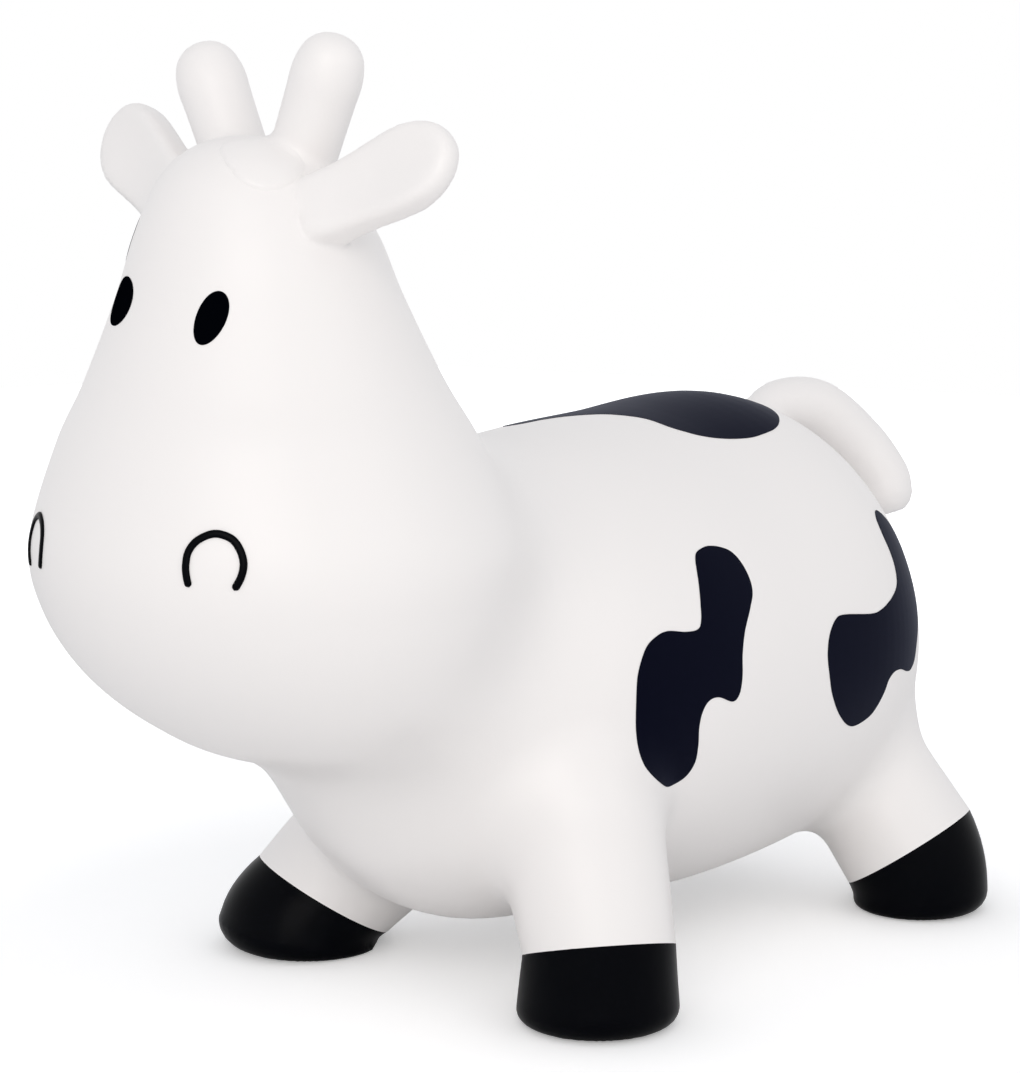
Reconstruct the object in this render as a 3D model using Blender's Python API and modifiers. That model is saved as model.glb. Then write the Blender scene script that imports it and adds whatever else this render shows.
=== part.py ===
"""Bouncy ride on cow: one inflated skin, split along its form and its colour zones.

Metres, +Z up, the floor at zero. The cow faces -Y, so its left side is +X.
"""

import math

import bmesh
import bpy
from mathutils import Matrix, Vector

# The tables below are laid out along Y from a point between the feet. The whole cow then moves
# back by this much, which brings the middle of its box to the origin.
MIDDLE_Y = 0.014

# Skin, fits and the thickness of painted and raised marks
WALL = 0.0025
HOOF_WALL = 0.0045
GAP = 0.0003
SEAT_GAP = 0.0009
PAINT = 0.0005
BEAD = 0.0016
RELIEF = 0.0020

# Mesh fineness
AROUND_BODY = 32
AROUND_LEG = 24
AROUND_BALL = 20
AROUND_TAIL_CORNER = 3
AROUND_EYE = 24
AROUND_PLUG = 24
BALL_RINGS = 14
ROW_STEPS = 2
MERGE = 0.00001

# Colours
WHITE = (0.90, 0.885, 0.86)
BLACK = (0.012, 0.013, 0.022)
SATIN = 0.42
GLOSS = 0.30

# Torso rows, nose to tail: along Y, height of the middle, half height, half width
TORSO_ROWS = (
    (-0.146, 0.143, 0.0000, 0.0000),
    (-0.139, 0.143, 0.0370, 0.0330),
    (-0.112, 0.149, 0.0835, 0.0780),
    (-0.062, 0.1560, 0.1215, 0.1185),
    (0.010, 0.160, 0.1310, 0.1360),
    (0.090, 0.161, 0.1370, 0.1400),
    (0.170, 0.166, 0.1375, 0.1370),
    (0.227, 0.158, 0.1215, 0.1165),
    (0.268, 0.147, 0.0880, 0.0830),
    (0.290, 0.143, 0.0430, 0.0420),
    (0.296, 0.143, 0.0000, 0.0000),
)

# Head rows, crown to chin: height, middle along Y, half depth, half width
HEAD_ROWS = (
    (0.4445, -0.188, 0.000, 0.000),
    (0.4402, -0.188, 0.024, 0.024),
    (0.4250, -0.187, 0.043, 0.043),
    (0.3980, -0.183, 0.0590, 0.0580),
    (0.3680, -0.180, 0.0690, 0.0680),
    (0.3270, -0.1785, 0.0880, 0.0870),
    (0.2970, -0.176, 0.1040, 0.1030),
    (0.2500, -0.170, 0.1225, 0.1215),
    (0.2170, -0.168, 0.1185, 0.1185),
    (0.1850, -0.162, 0.1032, 0.1062),
    (0.1580, -0.150, 0.0820, 0.0880),
    (0.1390, -0.140, 0.0530, 0.0590),
    (0.1320, -0.136, 0.000, 0.000),
)

# Legs: where the sole stands and which way it splays; the tilt of the paint line in degrees, and how much
# further the leg leans in toward its top and to the side, as shares of its rise; the height of the paint
# line's middle and how far that lies in from the sole's middle; the radii of sole, paint line and thigh
LEGS = {
    "front_left": ((0.1151, -0.0611), (0.818, -0.575), (19, 0.035, -0.085), (0.0382, -0.0019), (0.0416, 0.0390, 0.0420)),
    "front_right": ((-0.1027, -0.0674), (-0.557, -0.830), (32, 0.200, 0.0), (0.0278, 0.0170), (0.0424, 0.0419, 0.0450)),
    "hind_left": ((0.1169, 0.2337), (0.935, 0.354), (34, 0.0, 0.0), (0.0361, 0.0074), (0.0393, 0.0418, 0.0402)),
    "hind_right": ((-0.1169, 0.2337), (-0.935, 0.354), (34, 0.0, 0.0), (0.0361, 0.0074), (0.0393, 0.0418, 0.0402)),
}
# Leg profile from the torso down to the paint line: share of the leg's rise, then the shares of the
# paint line's radius and of the thigh's that make its radius there
LEG_RISE = 0.106
LEG_PROFILE_SHARES = (
    (1.000, 0.0, 0.55),
    (0.890, 0.0, 0.86),
    (0.680, 0.0, 1.05),
    (0.425, 0.0, 1.00),
    (0.190, 0.5, 0.50),
    (0.000, 1.0, 0.00),
)
# The sole's round edge rolls up further on its outer side, by this share
SOLE_EDGE = 0.0080
SOLE_ROLL_SHARE = 0.5
# Each leg opens into the torso through a bore along its middle, between two shares of its rise
LEG_BORE_RADIUS = 0.0280
LEG_BORE_SHARES = (0.11, 0.90)

# Horn profile from the tip down to its ball root: distance from the ball's middle, radius
HORN_PROFILE = (
    (0.0615, 0.0000),
    (0.0602, 0.0070),
    (0.0570, 0.0118),
    (0.0515, 0.0153),
    (0.0420, 0.0173),
    (0.0300, 0.0163),
    (0.0150, 0.0149),
    (0.0000, 0.0145),
    (-0.0050, 0.0136),
    (-0.0098, 0.0105),
)
HORN_BALL = 0.0145
HORN_ROOT = (0.0245, -0.174, 0.4345)
HORN_LEANS = {"left": math.radians(23.3), "right": math.radians(24.5)}
# The seat is a half ball with a flare above it, in which the horn can rock
HORN_SEAT_TOP = 0.0240
HORN_SEAT_FLARE = math.tan(math.radians(15))

# Ear rows: distance along the ear from its root, half width, half thickness
EAR_ROWS = (
    (-0.0080, 0.0000, 0.0000),
    (-0.0066, 0.0099, 0.0045),
    (-0.0040, 0.0152, 0.0069),
    (0.0000, 0.0175, 0.0080),
    (0.0200, 0.0188, 0.0084),
    (0.0410, 0.0232, 0.0088),
    (0.0600, 0.0220, 0.0086),
    (0.0740, 0.0150, 0.0072),
    (0.0810, 0.0000, 0.0000),
)
# Ears: root, the way the ear points, the way its dished face looks, length share
EARS = {
    "left": ((0.052, -0.187, 0.4135), (0.87, 0.13, 0.225), (0.14, -0.93, 0.30), 0.97),
    "right": ((-0.052, -0.187, 0.4170), (-0.87, 0.16, 0.435), (-0.14, -0.93, 0.30), 0.99),
}
EAR_BALL = (0.0175, 0.0080)
EAR_DISH = 0.0030
EAR_DISH_START = 0.0040
EAR_DISH_RUN = 0.0300

# Tail path over the rump, swung to the left: X, Y, Z and the radius there
TAIL_ROWS = (
    (0.000, 0.218, 0.2845, 0.0095),
    (0.002, 0.242, 0.2925, 0.0142),
    (0.012, 0.2695, 0.2893, 0.0168),
    (0.0255, 0.2938, 0.2675, 0.0168),
    (0.0385, 0.3037, 0.2445, 0.0165),
    (0.0428, 0.3030, 0.2350, 0.0137),
    (0.0441, 0.3025, 0.2295, 0.0100),
    (0.0448, 0.3022, 0.2268, 0.0060),
)

# Air plug in a moulded boss under the rump. Profiles run outward from inside: distance in, radius
VALVE_AT = (0.0, 0.2300, 0.0375)
VALVE_INWARD = (0.0, -0.31, 0.95)
PLUG_PROFILE = (
    (0.0170, 0.0000),
    (0.0165, 0.0034),
    (0.0132, 0.0040),
    (0.0120, 0.0046),
    (0.0110, 0.0040),
    (0.0082, 0.0040),
    (0.0070, 0.0046),
    (0.0060, 0.0040),
    (0.0026, 0.0040),
    (0.0025, 0.0090),
    (0.0008, 0.0090),
    (0.0000, 0.0080),
    (0.0000, 0.0000),
)
BORE_PROFILE = (
    (0.0200, 0.0000),
    (0.0200, 0.0050),
    (0.0030, 0.0050),
    (0.0029, 0.0096),
    (-0.0030, 0.0096),
    (-0.0030, 0.0000),
)
BOSS_PROFILE = ((0.0150, 0.0000), (0.0150, 0.0120), (0.0013, 0.0135), (0.0013, 0.0000))

# Painted outlines, each on the plane that it is cut along: along that plane, height
FLANK_OUTLINE = (
    (0.0285, 0.2350), (0.0235, 0.2345), (0.0175, 0.2325), (0.0140, 0.2280), (0.0105, 0.2190),
    (0.0065, 0.2075), (0.0040, 0.2000), (0.0005, 0.1960), (-0.0080, 0.1955), (-0.0195, 0.1970),
    (-0.0275, 0.1950), (-0.0350, 0.1900), (-0.0410, 0.1800), (-0.0435, 0.1705), (-0.0445, 0.1550),
    (-0.0435, 0.1360), (-0.0380, 0.1265), (-0.0250, 0.1180), (-0.0155, 0.1170), (-0.0065, 0.1195),
    (-0.0020, 0.1265), (-0.0020, 0.1360), (-0.0030, 0.1455), (-0.0015, 0.1535), (0.0030, 0.1590),
    (0.0100, 0.1600), (0.0200, 0.1565), (0.0250, 0.1595), (0.0275, 0.1680), (0.0290, 0.1800),
    (0.0335, 0.1915), (0.0415, 0.2025), (0.0465, 0.2095), (0.0480, 0.2165), (0.0465, 0.2250),
    (0.0425, 0.2310), (0.0355, 0.2340),
)
RUMP_OUTLINE = (
    (0.1110, 0.2400), (0.1190, 0.2385), (0.1290, 0.2320), (0.1400, 0.2225), (0.1470, 0.2100),
    (0.1490, 0.1950), (0.1440, 0.1800), (0.1340, 0.1690), (0.1250, 0.1600), (0.1200, 0.1520),
    (0.1110, 0.1480), (0.1025, 0.1485), (0.0910, 0.1515), (0.0820, 0.1515), (0.0760, 0.1480),
    (0.0730, 0.1410), (0.0665, 0.1315), (0.0590, 0.1275), (0.0490, 0.1260), (0.0400, 0.1295),
    (0.0300, 0.1380), (0.0225, 0.1490), (0.0190, 0.1605), (0.0180, 0.1710), (0.0210, 0.1810),
    (0.0275, 0.1885), (0.0350, 0.1905), (0.0575, 0.1880), (0.0680, 0.1890), (0.0825, 0.1940),
    (0.0935, 0.2000), (0.0990, 0.2090), (0.1000, 0.2180), (0.0995, 0.2265), (0.1030, 0.2350),
)
BACK_OUTLINE = (
    (0.005, 0.018), (0.009, 0.040), (0.013, 0.058), (0.021, 0.070), (0.034, 0.077),
    (0.047, 0.079), (0.057, 0.088), (0.065, 0.104), (0.068, 0.123), (0.066, 0.151),
    (0.058, 0.171), (0.042, 0.190), (0.020, 0.203), (-0.006, 0.204), (-0.028, 0.192),
    (-0.042, 0.168), (-0.046, 0.138), (-0.040, 0.108), (-0.026, 0.084), (-0.014, 0.060),
    (-0.006, 0.036), (-0.002, 0.020),
)
RIGHT_OUTLINE = (
    (-0.060, 0.246), (-0.040, 0.240), (-0.030, 0.222), (-0.034, 0.200), (-0.022, 0.186),
    (-0.004, 0.180), (0.006, 0.162), (0.000, 0.138), (-0.018, 0.122), (-0.040, 0.120),
    (-0.056, 0.134), (-0.060, 0.156), (-0.074, 0.168), (-0.092, 0.176), (-0.100, 0.196),
    (-0.096, 0.222), (-0.082, 0.240),
)
BROW_OUTLINE = (
    (0.2180, 0.4090), (0.2280, 0.4075), (0.2345, 0.4010), (0.2370, 0.3920), (0.2340, 0.3835),
    (0.2250, 0.3760), (0.2120, 0.3670), (0.1990, 0.3570), (0.1820, 0.3520), (0.1660, 0.3580),
    (0.1600, 0.3710), (0.1660, 0.3850), (0.1840, 0.3940), (0.2020, 0.4020),
)

# Face, seen from the front: X and height of the middle, then the half sizes
EYES = {
    "left": ((0.0355, 0.3598), (0.0066, 0.0122)),
    "right": ((-0.0250, 0.3663), (0.0095, 0.0116)),
}
NOSTRILS = {"left": (0.0665, 0.2530), "right": (-0.0505, 0.2530)}
NOSTRIL_PATH = (
    (-0.0095, -0.0120), (-0.0105, -0.0070), (-0.0110, -0.0020), (-0.0105, 0.0040), (-0.0075, 0.0090),
    (-0.0015, 0.0120), (0.0050, 0.0100), (0.0090, 0.0050), (0.0110, -0.0010), (0.0105, -0.0070),
    (0.0080, -0.0130),
)
NOSTRIL_HALF_LINE = 0.0017

# Forelock: a raised lock on the crown that falls forward and to the left, cut by a long ball
FORELOCK_AT = (0.027, -0.200, 0.4395)
FORELOCK_RUN = (0.669, -0.743, 0.0)
FORELOCK_HALF = (0.0480, 0.0222)

# A leg's top edge leaves room for the tip of the flank patch, whose outline is this much larger there
PATCH_CLEAR_SHARE = 1.012

# Planes that the stencils start from, inside the forms, and how far the stencils reach
RUMP_PLANE = 0.10
FACE_PLANE = -0.18
BACK_PLANE = 0.18
REACH = 0.20

SIDE = Vector((1, 0, 0))
REAR = Vector((0, 1, 0))
UP = Vector((0, 0, 1))
RUMP_TURN = math.radians(120)
RUMP_RUN = Vector((math.cos(RUMP_TURN), math.sin(RUMP_TURN), 0))


def clear_scene():
    for old in list(bpy.data.objects):
        bpy.data.objects.remove(old)


def new_collection(name):
    made = bpy.data.collections.new(name)
    bpy.context.scene.collection.children.link(made)
    return made


def painted(obj, colour, roughness):
    """Gives an object its own material."""
    made = bpy.data.materials.new(obj.name)
    made.use_nodes = True
    shader = made.node_tree.nodes["Principled BSDF"]
    shader.inputs["Base Color"].default_value = (*colour, 1.0)
    shader.inputs["Roughness"].default_value = roughness
    obj.data.materials.clear()
    obj.data.materials.append(made)
    return obj


def object_of(name, built, collection):
    """An object from a bmesh, which is freed."""
    mesh = bpy.data.meshes.new(name)
    built.to_mesh(mesh)
    built.free()
    mesh.shade_smooth()
    made = bpy.data.objects.new(name, mesh)
    collection.objects.link(made)
    return made


def as_cutter(obj):
    obj.hide_render = True
    obj.display_type = "WIRE"
    return obj


def place(obj, at, along, across=None):
    """Puts an object's origin at a point and turns its Z along one direction and its X across."""
    along = Vector(along).normalized()
    if across is None:
        across = REAR if abs(along.dot(REAR)) < 0.9 else SIDE
    across = (Vector(across) - along * along.dot(Vector(across))).normalized()
    turn = Matrix((across, along.cross(across), along)).transposed()
    obj.location = Vector(at)
    obj.rotation_euler = turn.to_euler()
    bpy.context.view_layer.update()
    return obj


def curve_between(a, b, c, d, t):
    """A smooth curve from b to c, with a before and d after."""
    return [
        0.5
        * (
            2 * q
            + (r - p) * t
            + (2 * p - 5 * q + 4 * r - s) * t * t
            + (3 * q - p - 3 * r + s) * t**3
        )
        for p, q, r, s in zip(a, b, c, d)
    ]


def smooth_rows(rows, radii):
    """Rows of a smooth curve through the given ones. The last `radii` columns turn negative past a pole."""
    columns = len(rows[0])

    def beyond(end, next_in):
        if radii and rows[end][-1] == 0:
            return [-v if i >= columns - radii else v for i, v in enumerate(rows[next_in])]
        return [2 * a - b for a, b in zip(rows[end], rows[next_in])]

    knots = [beyond(0, 1), *rows, beyond(-1, -2)]
    smooth = []
    for k in range(1, len(knots) - 2):
        for step in range(ROW_STEPS):
            smooth.append(curve_between(*knots[k - 1 : k + 3], step / ROW_STEPS))
    smooth.append(list(rows[-1]))
    return smooth


def rounded(outline):
    """A closed outline with a smooth curve through its points."""
    smooth = []
    for k in range(len(outline)):
        knots = [outline[(k + i) % len(outline)] for i in (-1, 0, 1, 2)]
        for step in range(ROW_STEPS):
            smooth.append(curve_between(*knots, step / ROW_STEPS))
    return smooth


def ring(centre, across, up, half_across, half_up, count):
    """An ellipse of points around a centre."""
    turn = 2 * math.pi / count
    return [
        centre + across * half_across * math.cos(k * turn) + up * half_up * math.sin(k * turn)
        for k in range(count)
    ]


def lofted(name, rings, closed_start, closed_end, collection):
    """A skin over rings of equal count, with a low point at each closed end."""
    built = bmesh.new()
    rows = [[built.verts.new(p) for p in points] for points in rings]
    count = len(rows[0])
    for near, far in zip(rows, rows[1:]):
        for k in range(count):
            after = (k + 1) % count
            built.faces.new((near[k], near[after], far[after], far[k]))
    for closed, row in ((closed_start, rows[0]), (closed_end, rows[-1])):
        if closed:
            middle = built.verts.new(sum((v.co for v in row), Vector()) / count)
            for k in range(count):
                built.faces.new((row[k], row[(k + 1) % count], middle))
    bmesh.ops.recalc_face_normals(built, faces=built.faces)
    return object_of(name, built, collection)


def turned(name, profile, around, collection):
    """A turned form from a profile of distance and radius, the far end first, along the object's Z."""
    mesh = bpy.data.meshes.new(name)
    edges = [(k, k + 1) for k in range(len(profile) - 1)]
    mesh.from_pydata([(radius, 0, distance) for distance, radius in profile], edges, [])
    made = bpy.data.objects.new(name, mesh)
    collection.objects.link(made)
    screw = made.modifiers.new("turn", "SCREW")
    screw.steps = around
    screw.render_steps = around
    screw.use_merge_vertices = True
    screw.merge_threshold = MERGE
    return made


def ball(name, centre, along, half_along, radius, collection):
    """A ball stretched along one direction, as a cutter."""
    built = bmesh.new()
    bmesh.ops.create_uvsphere(built, u_segments=AROUND_BALL, v_segments=BALL_RINGS, radius=radius)
    bmesh.ops.scale(built, vec=(1, 1, half_along / radius), verts=built.verts)
    return as_cutter(place(object_of(name, built, collection), centre, along))


def rod(name, start, end, radius, collection):
    """A cylinder from one point to another, as a cutter."""
    built = bmesh.new()
    run = end - start
    bmesh.ops.create_cone(
        built, cap_ends=True, segments=AROUND_LEG, radius1=radius, radius2=radius, depth=run.length
    )
    return as_cutter(place(object_of(name, built, collection), (start + end) / 2, run))


def prism(name, outline, origin, across, up, reach, collection):
    """A closed cutter: a flat outline pushed out along the normal of its plane."""
    built = bmesh.new()
    face = built.faces.new([built.verts.new(origin + across * a + up * b) for a, b in outline])
    pushed = bmesh.ops.extrude_face_region(built, geom=[face])["geom"]
    moved = [v for v in pushed if isinstance(v, bmesh.types.BMVert)]
    bmesh.ops.translate(built, vec=across.cross(up) * reach, verts=moved)
    bmesh.ops.recalc_face_normals(built, faces=built.faces)
    return as_cutter(object_of(name, built, collection))


def ellipse_outline(middle, half, count):
    turn = 2 * math.pi / count
    return [
        (middle[0] + half[0] * math.cos(k * turn), middle[1] + half[1] * math.sin(k * turn))
        for k in range(count)
    ]


def line_outline(path, half_line):
    """The outline of a line of even width along a smooth open path."""
    knots = [Vector(p) for p in smooth_rows(path, 0)]
    left, right = [], []
    for k, here in enumerate(knots):
        run = (knots[min(k + 1, len(knots) - 1)] - knots[max(k - 1, 0)]).normalized()
        left.append(here + Vector((-run.y, run.x)) * half_line)
        right.append(here - Vector((-run.y, run.x)) * half_line)
    first = knots[0] - (knots[1] - knots[0]).normalized() * half_line
    last = knots[-1] + (knots[-1] - knots[-2]).normalized() * half_line
    return [first, *left, last, *right[::-1]]


def grown(name, source, distance, collection):
    """A copy of a form with its surface moved out by a distance."""
    copy = bpy.data.objects.new(name, source.data.copy())
    collection.objects.link(copy)
    normals = [v.normal.copy() for v in copy.data.vertices]
    for vertex, normal in zip(copy.data.vertices, normals):
        vertex.co += normal * distance
    return copy


def shell(obj, wall):
    solidify = obj.modifiers.new("wall", "SOLIDIFY")
    solidify.thickness = wall
    solidify.offset = -1
    solidify.use_even_offset = True


def boolean(obj, other, operation):
    modifier = obj.modifiers.new(operation.lower(), "BOOLEAN")
    modifier.operation = operation
    modifier.object = other
    modifier.solver = "EXACT"


def make_torso(collection):
    rings = [
        ring(Vector((0, y, middle)), SIDE, UP, half_width, half_height, AROUND_BODY)
        for y, middle, half_height, half_width in smooth_rows(TORSO_ROWS, 2)[1:-1]
    ]
    return painted(lofted("torso", rings, True, True, collection), WHITE, SATIN)


def make_head(collection):
    rings = [
        ring(Vector((0, middle, height)), SIDE, REAR, half_width, half_depth, AROUND_BODY)
        for height, middle, half_depth, half_width in smooth_rows(HEAD_ROWS, 2)[1:-1]
    ]
    return painted(lofted("head", rings, True, True, collection), WHITE, SATIN)


def make_coat(name, form, thickness, stencil, colour, roughness, collection):
    """A thin layer over a form, cut to its stencil."""
    made = painted(grown(name, form, GAP + thickness, collection), colour, roughness)
    shell(made, thickness)
    boolean(made, stencil, "INTERSECT")
    return made


def make_patches(torso, head, nodes, cutters):
    rump_normal = RUMP_RUN.cross(UP)
    for name, form, outline, origin, across, up in (
        ("patch_flank_left", torso, FLANK_OUTLINE, Vector(), REAR, UP),
        ("patch_flank_right", torso, RIGHT_OUTLINE, Vector(), -REAR, UP),
        ("patch_rump", torso, RUMP_OUTLINE, rump_normal * RUMP_PLANE, RUMP_RUN, UP),
        ("patch_back", torso, BACK_OUTLINE, UP * BACK_PLANE, SIDE, REAR),
        ("patch_brow", head, BROW_OUTLINE, Vector(), -REAR, UP),
    ):
        stencil = prism("stencil_" + name, rounded(outline), origin, across, up, REACH, cutters)
        make_coat(name, form, PAINT, stencil, BLACK, SATIN, nodes)


def make_face(head, nodes, cutters):
    """Eyes, nostrils and the forelock."""
    origin = REAR * FACE_PLANE
    for side, name in ((1, "left"), (-1, "right")):
        middle, half = EYES[name]
        outline = ellipse_outline(middle, half, AROUND_EYE)
        stencil = prism("stencil_eye_" + name, outline, origin, SIDE, UP, REACH, cutters)
        make_coat("eye_" + name, head, PAINT, stencil, BLACK, GLOSS, nodes)
        across, up = NOSTRILS[name]
        path = [(across + side * a, up + b) for a, b in NOSTRIL_PATH]
        outline = line_outline(path, NOSTRIL_HALF_LINE)
        stencil = prism("stencil_nostril_" + name, outline, origin, SIDE, UP, REACH, cutters)
        make_coat("nostril_" + name, head, BEAD, stencil, BLACK, GLOSS, nodes)
    stencil = ball("stencil_forelock", FORELOCK_AT, FORELOCK_RUN, *FORELOCK_HALF, cutters)
    return make_coat("forelock", head, RELIEF, stencil, WHITE, SATIN, nodes)


def make_valve(torso, nodes, cutters):
    """The moulded boss, its bore and the loose plug."""
    boss = as_cutter(turned("valve_boss", BOSS_PROFILE, AROUND_PLUG, cutters))
    bore = as_cutter(turned("valve_bore", BORE_PROFILE, AROUND_PLUG, cutters))
    plug = painted(turned("air_plug", PLUG_PROFILE, AROUND_PLUG, nodes), WHITE, SATIN)
    for obj in (boss, bore, plug):
        place(obj, VALVE_AT, VALVE_INWARD, SIDE)
    boolean(torso, boss, "UNION")
    boolean(torso, bore, "DIFFERENCE")


def leg_rings(outward, sideways, centre, lean, radii):
    """Rings of a leg from its paint line up, with their middles and their shares of the rise."""
    tilt, lean_share, sway_share = math.radians(lean[0]), lean[1], lean[2]
    _, line_radius, thigh_radius = radii
    rise = UP * math.cos(tilt) - outward * math.sin(tilt) + sideways * sway_share
    rings, middles, shares = [], [], []
    for share, of_line, of_thigh in reversed(smooth_rows(LEG_PROFILE_SHARES, 0)):
        here = tilt + 2 * lean_share * share
        across = outward * math.cos(here) + UP * math.sin(here)
        middle = centre + (rise - outward * lean_share * share) * share * LEG_RISE
        radius = line_radius * of_line + thigh_radius * of_thigh
        rings.append(ring(middle, across, sideways, radius, radius, AROUND_LEG))
        middles.append(middle)
        shares.append(share)
    return rings, middles, shares


def hoof_rings(outward, sideways, tilt, line, radii):
    """Rings of a hoof over the origin, from its sole up to its paint line."""
    line_height, line_shift = line
    sole_radius, line_radius, _ = radii
    rings = []
    for turn in (0.0, math.pi / 4, math.pi / 2):
        points = []
        for k in range(AROUND_LEG):
            angle = 2 * math.pi * k / AROUND_LEG
            edge = SOLE_EDGE * (1 + SOLE_ROLL_SHARE * math.cos(angle))
            around = outward * math.cos(angle) + sideways * math.sin(angle)
            run = sole_radius - edge * (1 - math.sin(turn))
            points.append(around * run + UP * edge * (1 - math.cos(turn)))
        rings.append(points)
    sole_tilt = math.asin(SOLE_EDGE * SOLE_ROLL_SHARE / sole_radius)
    for share in (0.34, 0.67, 1.0):
        radius = sole_radius + (line_radius - sole_radius) * share
        height = SOLE_EDGE + (line_height - SOLE_EDGE) * share
        here = sole_tilt + (tilt - sole_tilt) * share
        across = outward * math.cos(here) + UP * math.sin(here)
        middle = UP * height - outward * line_shift * share * share
        rings.append(ring(middle, across, sideways, radius, radius, AROUND_LEG))
    return rings


def make_leg(name, torso, torso_clear, nodes, cutters):
    """A hollow leg on the torso and the hoof under it. The hoof's origin is on the floor, under its middle."""
    stand, splay, lean, line, radii = LEGS[name]
    line_height, line_shift = line
    tilt = math.radians(lean[0])
    outward = Vector((*splay, 0)).normalized()
    sideways = UP.cross(outward)
    stand = Vector((*stand, 0))
    centre = stand - outward * line_shift + UP * line_height
    up_leg = UP * math.cos(tilt) - outward * math.sin(tilt)
    over, half_gap = up_leg * HOOF_WALL / 2, up_leg * GAP / 2
    reach = 2 * radii[2]

    # Both walls run past the paint line, and each is cut back to half a gap from it
    rings, middles, shares = leg_rings(outward, sideways, centre, lean, radii)
    rings[0] = [p - over for p in rings[0]]
    leg = painted(lofted("leg_" + name, rings, False, False, nodes), WHITE, SATIN)
    shell(leg, WALL)
    boolean(leg, torso_clear, "DIFFERENCE")
    end = rod("leg_end_" + name, centre + half_gap, centre - up_leg * reach, reach, cutters)
    boolean(leg, end, "DIFFERENCE")

    rings = hoof_rings(outward, sideways, tilt, line, radii)
    rings[-1] = [p + over for p in rings[-1]]
    hoof = painted(lofted("hoof_" + name, rings, True, False, nodes), BLACK, GLOSS)
    hoof.location = stand
    shell(hoof, HOOF_WALL)
    end = rod("hoof_end_" + name, centre - half_gap, centre + up_leg * reach, reach, cutters)
    boolean(hoof, end, "DIFFERENCE")

    inside = [p for p, share in zip(middles, shares) if LEG_BORE_SHARES[0] < share < LEG_BORE_SHARES[1]]
    bore = rod("leg_bore_" + name, inside[0], inside[-1], LEG_BORE_RADIUS, cutters)
    boolean(torso, bore, "DIFFERENCE")


def make_horn(side, name, head, forelock, nodes, cutters):
    """A hollow horn that rocks on its ball root. Its origin is the middle of the ball."""
    root = Vector((side * HORN_ROOT[0], HORN_ROOT[1], HORN_ROOT[2]))
    lean = HORN_LEANS[name]
    along = Vector((side * math.sin(lean), 0, math.cos(lean)))
    horn = painted(turned("horn_" + name, HORN_PROFILE, AROUND_BALL, nodes), WHITE, SATIN)
    place(horn, root, along, REAR)
    shell(horn, WALL)
    half = HORN_BALL + SEAT_GAP
    profile = [(HORN_SEAT_TOP, 0.0), (HORN_SEAT_TOP, half + HORN_SEAT_TOP * HORN_SEAT_FLARE)]
    for k in range(BALL_RINGS // 2 + 1):
        turn = math.pi * k / BALL_RINGS
        profile.append((-half * math.sin(turn), half * math.cos(turn)))
    seat = as_cutter(turned("horn_seat_" + name, profile, AROUND_BALL, cutters))
    place(seat, root, along, REAR)
    boolean(head, seat, "DIFFERENCE")
    boolean(forelock, seat, "DIFFERENCE")


def make_ear(name, head, nodes, cutters):
    """A broad paddle with a dished face, on a round root. Its origin is the root's middle."""
    root, along, face, length_share = EARS[name]
    rings = []
    for distance, half_width, half_thick in smooth_rows(EAR_ROWS, 2)[1:-1]:
        dish = EAR_DISH * max(0.0, min(1.0, (distance - EAR_DISH_START) / EAR_DISH_RUN))
        points = ring(UP * distance * length_share, REAR, SIDE, half_width, half_thick, AROUND_BALL)
        for point in points:
            if point.x > 0:
                point.x -= dish * (point.x / half_thick) ** 2
        rings.append(points)
    ear = painted(lofted("ear_" + name, rings, True, True, nodes), WHITE, SATIN)
    place(ear, root, along, face)
    wide = Vector(along).cross(Vector(face))
    half_wide, half_thick = (half + SEAT_GAP for half in EAR_BALL)
    seat = ball("ear_seat_" + name, root, wide, half_wide, half_thick, cutters)
    boolean(head, seat, "DIFFERENCE")


def clear_patch_tip(nodes, cutters):
    """Cuts the flank patch's outline, a little enlarged, out of the top edge of the leg below it."""
    count = len(FLANK_OUTLINE)
    middle = [sum(p[axis] for p in FLANK_OUTLINE) / count for axis in (0, 1)]
    outline = [[m + (v - m) * PATCH_CLEAR_SHARE for v, m in zip(p, middle)] for p in rounded(FLANK_OUTLINE)]
    room = prism("patch_room", outline, Vector(), REAR, UP, REACH, cutters)
    boolean(nodes.objects["leg_front_left"], room, "DIFFERENCE")


def make_tail(torso_clear, nodes):
    """A round tail along a smooth path, made a mesh so that the torso can cut its root."""
    curve = bpy.data.curves.new("tail_path", "CURVE")
    curve.dimensions = "3D"
    curve.bevel_depth = 1.0
    curve.bevel_resolution = AROUND_TAIL_CORNER
    curve.use_fill_caps = True
    rows = smooth_rows(TAIL_ROWS, 0)
    spline = curve.splines.new("POLY")
    spline.points.add(len(rows) - 1)
    for point, (x, y, z, radius) in zip(spline.points, rows):
        point.co = (x, y, z, 1)
        point.radius = radius
    path = bpy.data.objects.new("tail_path", curve)
    nodes.objects.link(path)
    graph = bpy.context.evaluated_depsgraph_get()
    built = bmesh.new()
    mesh = bpy.data.meshes.new_from_object(path.evaluated_get(graph))
    built.from_mesh(mesh)
    bmesh.ops.remove_doubles(built, verts=built.verts, dist=MERGE)
    bmesh.ops.recalc_face_normals(built, faces=built.faces)
    bpy.data.objects.remove(path)
    tail = painted(object_of("tail", built, nodes), WHITE, SATIN)
    boolean(tail, torso_clear, "DIFFERENCE")


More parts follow.
